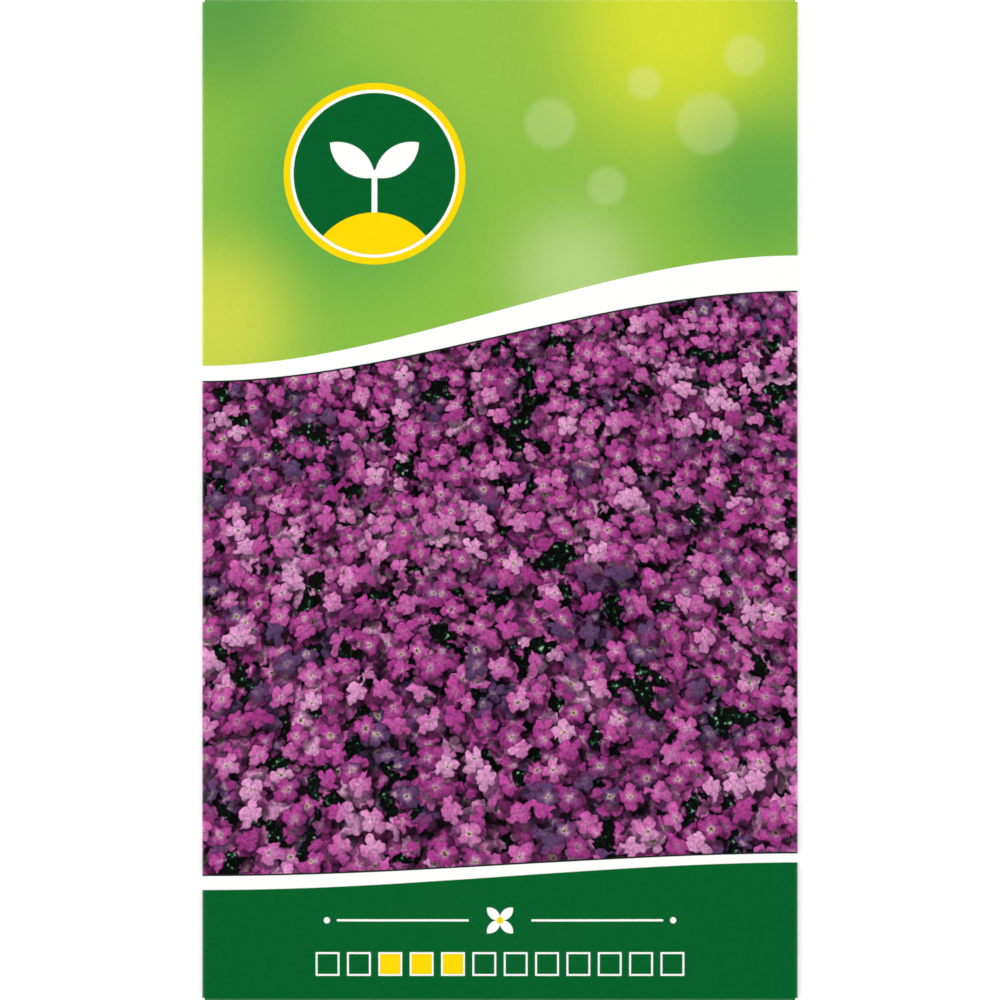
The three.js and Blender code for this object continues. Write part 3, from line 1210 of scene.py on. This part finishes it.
@dataclass(frozen=True)
class Sachet:
    """The inner sachet: two webs of foil laminate, sealed to each other all round."""

    low: Vector
    high: Vector
    seal_height: float
    seal: float = 6 * MM
    film: float = 0.12 * MM
    seal_cell: float = 0.4 * MM
    cell: float = 1.0 * MM
    crimp_pitch: float = 1.7 * MM
    crimp: float = 0.05 * MM
    crimp_fade: float = 0.8 * MM
    crease: float = 0.1 * MM
    crease_width: float = 3 * MM
    crease_length: float = 11 * MM
    crease_draw: float = 2.3
    across_flatness: float = 2.6
    along_flatness: float = 3.0

    @classmethod
    def from_frame(cls) -> "Sachet":
        """Reads the sachet's outer sizes off its two solids."""
        low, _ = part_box("sachet_back_web")
        seal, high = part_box("sachet_front_web")
        return cls(low, high, seal.z)

    @property
    def middle(self) -> Vector:
        """The middle of the sachet."""
        return (self.low + self.high) / 2

    @property
    def half(self) -> Vector:
        """Half the sachet's sizes."""
        return (self.high - self.low) / 2

    def build(self) -> dict[str, Object]:
        """Makes both webs, and returns each by the name of the solid that it stands for."""
        foil = FoilLaminate().material()
        webs = {}
        for node, up in (("sachet_front_web", 1), ("sachet_back_web", -1)):
            webs[node] = self._web(node.replace("sachet", "foil"), up, foil)
        return webs

    def fullness(self, x: float, y: float) -> float:
        """Returns how far apart the webs stand at a place, from 0 at the seals to 1 in the middle."""
        middle, half = self.middle, self.half
        across = swell((x - middle.x) / (half.x - self.seal), self.across_flatness)
        return across * swell((y - middle.y) / (half.y - self.seal), self.along_flatness)

    def floor(self, x: float, y: float) -> float:
        """Returns the height of the back web's inner face at a place."""
        drop = self.seal_height - self.film - self.low.z
        return self.seal_height - drop * self.fullness(x, y)

    def _crimped(self, x: float, y: float) -> float:
        """Returns the height of the seals' pressed ridges at a place, along each edge."""
        middle, half = self.middle, self.half
        near = min(half.x - abs(x - middle.x), half.y - abs(y - middle.y))
        fade = ease(near / self.crimp_fade) * ease((self.seal - near) / self.crimp_fade)
        return self.crimp * fade * math.sin(math.tau * near / self.crimp_pitch)

    def _lines(self, axis: int) -> list[float]:
        """Lists where the sheet's lines lie one way, close together in the seals."""
        start, end = self.low[axis], self.high[axis]
        steps = round(self.seal / self.seal_cell)
        cells = round((end - start - 2 * self.seal) / self.cell)
        inner = (start + self.seal, end - self.seal)
        return stations((start, inner[0], steps), (*inner, cells), (inner[1], end, steps))

    def _web(self, name: str, up: int, finish: Material) -> Object:
        """Makes one web.

        Args:
            name: The piece's name.
            up: 1 for the web under the bag's front, -1 for the one on its back.
            finish: Its material.

        Returns:
            The web.
        """
        sheet = flat_sheet(self._lines(0), self._lines(1))
        top = self.high.z if up > 0 else self.low.z
        reach = abs(top - self.seal_height) - self.film
        for corner in sheet.verts:
            x, y = corner.co.xy
            full = self.fullness(x, y)
            draw = Vector((x / self.crease_width, y / self.crease_length, up * self.crease_draw))
            folds = noise.noise(draw) * self.crease * halfway(full)
            corner.co.z = self.seal_height + up * (self.film + reach * full + folds) + self._crimped(x, y)
        if up < 0:
            bmesh.ops.reverse_faces(sheet, faces=sheet.faces[:])
        web = as_object(name, sheet, finish)
        thicken(web, self.film)
        return web


@dataclass(frozen=True)
class SeedHeap:
    """The seeds, which have slid into a low oval heap on the sachet's back web.

    A layer is its count of seeds and its reach, as a share of the heap's.
    """

    low: Vector
    high: Vector
    floor: Callable[[float, float], float]
    seed: Triple = (1.35 * MM, 1.0 * MM, 0.7 * MM)
    size_spread: Pair = (0.85, 1.1)
    most_lean: float = 0.12
    layers: tuple[tuple[int, float], ...] = ((118, 1.0), (72, 0.72), (34, 0.45))
    layer_height: float = 0.45 * MM
    draw: int = 29

    def build(self) -> Object:
        """Makes all seeds as one piece, in rings like a sunflower's so that they lie evenly."""
        chance = random.Random(self.draw)
        heap = bmesh.new()
        middle = (self.low + self.high) / 2
        half = (self.high - self.low) / 2
        golden = math.pi * (3 - math.sqrt(5))
        for layer, (count, share) in enumerate(self.layers):
            for index in range(count):
                reach = share * math.sqrt((index + 0.5) / count)
                x = middle.x + (half.x - self.seed[0] / 2) * reach * math.cos(index * golden + layer)
                y = middle.y + (half.y - self.seed[1] / 2) * reach * math.sin(index * golden + layer)
                z = self.floor(x, y) + self.seed[2] / 2 + layer * self.layer_height
                self._add_seed(heap, Vector((x, y, z)), chance)
        return as_object("seed_heap", heap, SeedCoat().material())

    def _add_seed(self, heap: BMesh, middle: Vector, chance: random.Random) -> None:
        """Adds one seed, turned and leaned at random.

        Args:
            heap: The bmesh that takes it.
            middle: The seed's middle.
            chance: The stream of random numbers.
        """
        size = chance.uniform(*self.size_spread)
        turn = Matrix.Rotation(chance.uniform(0, math.tau), 4, "Z")
        lean = Matrix.Rotation(chance.uniform(-self.most_lean, self.most_lean), 4, "X")
        shape = Matrix.Diagonal((*(size * side for side in self.seed), 1.0))
        place = Matrix.Translation(middle) @ turn @ lean @ shape
        bmesh.ops.create_uvsphere(heap, u_segments=7, v_segments=5, radius=0.5, matrix=place)


@dataclass(frozen=True)
class Studio:
    """The plain pale floor, the soft light and the camera, which looks straight down on the front.

    A pair of heights is where a light starts and ends to change, as the height of a unit direction.
    """

    sizes: BagSizes
    floor_size: float = 12.0
    floor_gap: float = 0.02 * MM
    floor_colour: str = "#fafafa"
    floor_glow: float = 0.2
    window_light: float = 2.32
    window_sides: Pair = (0.35, 0.8)
    window_sill: Pair = (0.25, 0.45)
    key_share: float = 0.15
    room_light: float = 0.51
    low_light: float = 0.2
    low_end: float = 0.6
    horizon_light: float = 0.35
    horizon: Pair = (0.035, 0.06)
    overhead: Pair = (0.72, 0.86)
    camera_height: float = 1.2
    sensor: float = 36.0
    overfill: float = 1.003

    def build(self) -> None:
        """Sets the stage round the packet."""
        self._add_floor()
        self._add_light()
        self._add_camera()
        bpy.context.scene.view_settings.view_transform = "Standard"

    def _add_floor(self) -> None:
        """Adds the floor, a hair under the packet: opal acrylic, which a light table lights from below."""
        sheet = bmesh.new()
        below = Matrix.Translation((0.0, 0.0, -self.floor_gap))
        bmesh.ops.create_grid(sheet, x_segments=1, y_segments=1, size=self.floor_size / 2, matrix=below)
        acrylic = Finish("opal_acrylic").close(
            Base_Color=linear(self.floor_colour),
            Roughness=1.0,
            Specular_IOR_Level=0.0,
            Emission_Color=linear("#ffffff"),
            Emission_Strength=self.floor_glow,
        )
        acrylic.cycles.emission_sampling = "NONE"
        as_object("floor", sheet, acrylic)

    def _add_light(self) -> None:
        """Adds the room's light: four broad soft windows square to the packet, the left one the key.

        It is dim between them and dark overhead, so that the camera sees no glare in the print's gloss.
        """
        world = bpy.data.worlds.new("studio")
        world.use_nodes = True
        sky = Recipe(world.node_tree)
        way = sky.add(Kind.COORDINATES).outputs["Generated"]
        up = sky.add(Kind.SPLIT, [way]).outputs["Z"]
        flat = sky.add(Kind.UNIT, [sky.add(Kind.PLACE_TIMES, [way, (1.0, 1.0, 0.0)])])
        across = sky.add(Kind.SPLIT, [flat]).outputs["X"]
        # The squares of the two parts differ most where the direction is square to the packet
        square = sky.add(Kind.TIMES_PLUS, [sky.add(Kind.POWER, [across, 2.0]), 2.0, -1.0])
        square = sky.add(Kind.SIZE, [square])
        window = sky.add(Kind.FADE, [square, *self.window_sides])
        sill = sky.add(Kind.FADE, [up, *self.window_sill])
        window = sky.add(Kind.TIMES, [window, sill])
        key = sky.add(Kind.TIMES_PLUS, [across, -self.key_share * self.window_light, self.window_light])
        low = [up, 0.0, self.low_end, self.low_light + self.room_light, self.room_light]
        horizon = sky.add(Kind.FADE, [up, *self.horizon, self.horizon_light, 0.0])
        room = sky.add(Kind.PLUS, [sky.add(Kind.RANGE, low), horizon])
        light = sky.add(Kind.TIMES_PLUS, [window, key, room])
        light = sky.add(Kind.TIMES, [light, sky.add(Kind.FADE, [up, *self.overhead, 1.0, 0.0])])
        light = sky.add(Kind.LIGHT, {"Color": linear("#ffffff"), "Strength": light})
        sky.add(Kind.SKY, {"Surface": light})
        bpy.context.scene.world = world

    def _add_camera(self) -> None:
        """Adds the camera, whose frame is a hair less high than the packet is long."""
        data = bpy.data.cameras.new("camera")
        data.sensor_width = self.sensor
        distance = self.camera_height - self.sizes.edge_height
        data.lens = self.sensor * self.overfill * distance / self.sizes.length
        camera = bpy.data.objects.new("camera", data)
        camera.location = (0.0, 0.0, self.camera_height)
        bpy.context.scene.collection.objects.link(camera)
        bpy.context.scene.camera = camera


def dress(piece: Object, slot: str, *nodes: str) -> None:
    """Puts a piece in the place of its solids.

    Args:
        piece: The new piece.
        slot: The name of its material slot, which is not used.
        nodes: The solids that it stands for.
    """
    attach(piece, BODY)
    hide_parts(*nodes)
    LOG.info("%s stands for %s, with %d faces", piece.name, ", ".join(nodes), len(piece.data.polygons))


def main() -> None:
    """Builds the packet's pieces, its adhesive's finish and the studio."""
    logging.basicConfig(level=logging.INFO, format="%(name)s: %(message)s")
    sizes = BagSizes.from_frame()
    dress(FoldedBag(sizes).build(), "printed_paper", "outer_bag")
    sachet = Sachet.from_frame()
    for node, web in sachet.build().items():
        dress(web, "foil_laminate", node)
    dress(SeedHeap(*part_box("seeds"), sachet.floor).build(), "seed_coat", "seeds")
    adhesive = SetAdhesive().material()
    for node in ("seam_glue", "bottom_flap_glue", "top_flap_glue"):
        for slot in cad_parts[node].material_slots:
            slot.material = adhesive
        LOG.info("%s keeps its solid, with %s", node, adhesive.name)
    Studio(sizes).build()


if __name__ == "__main__":
    main()
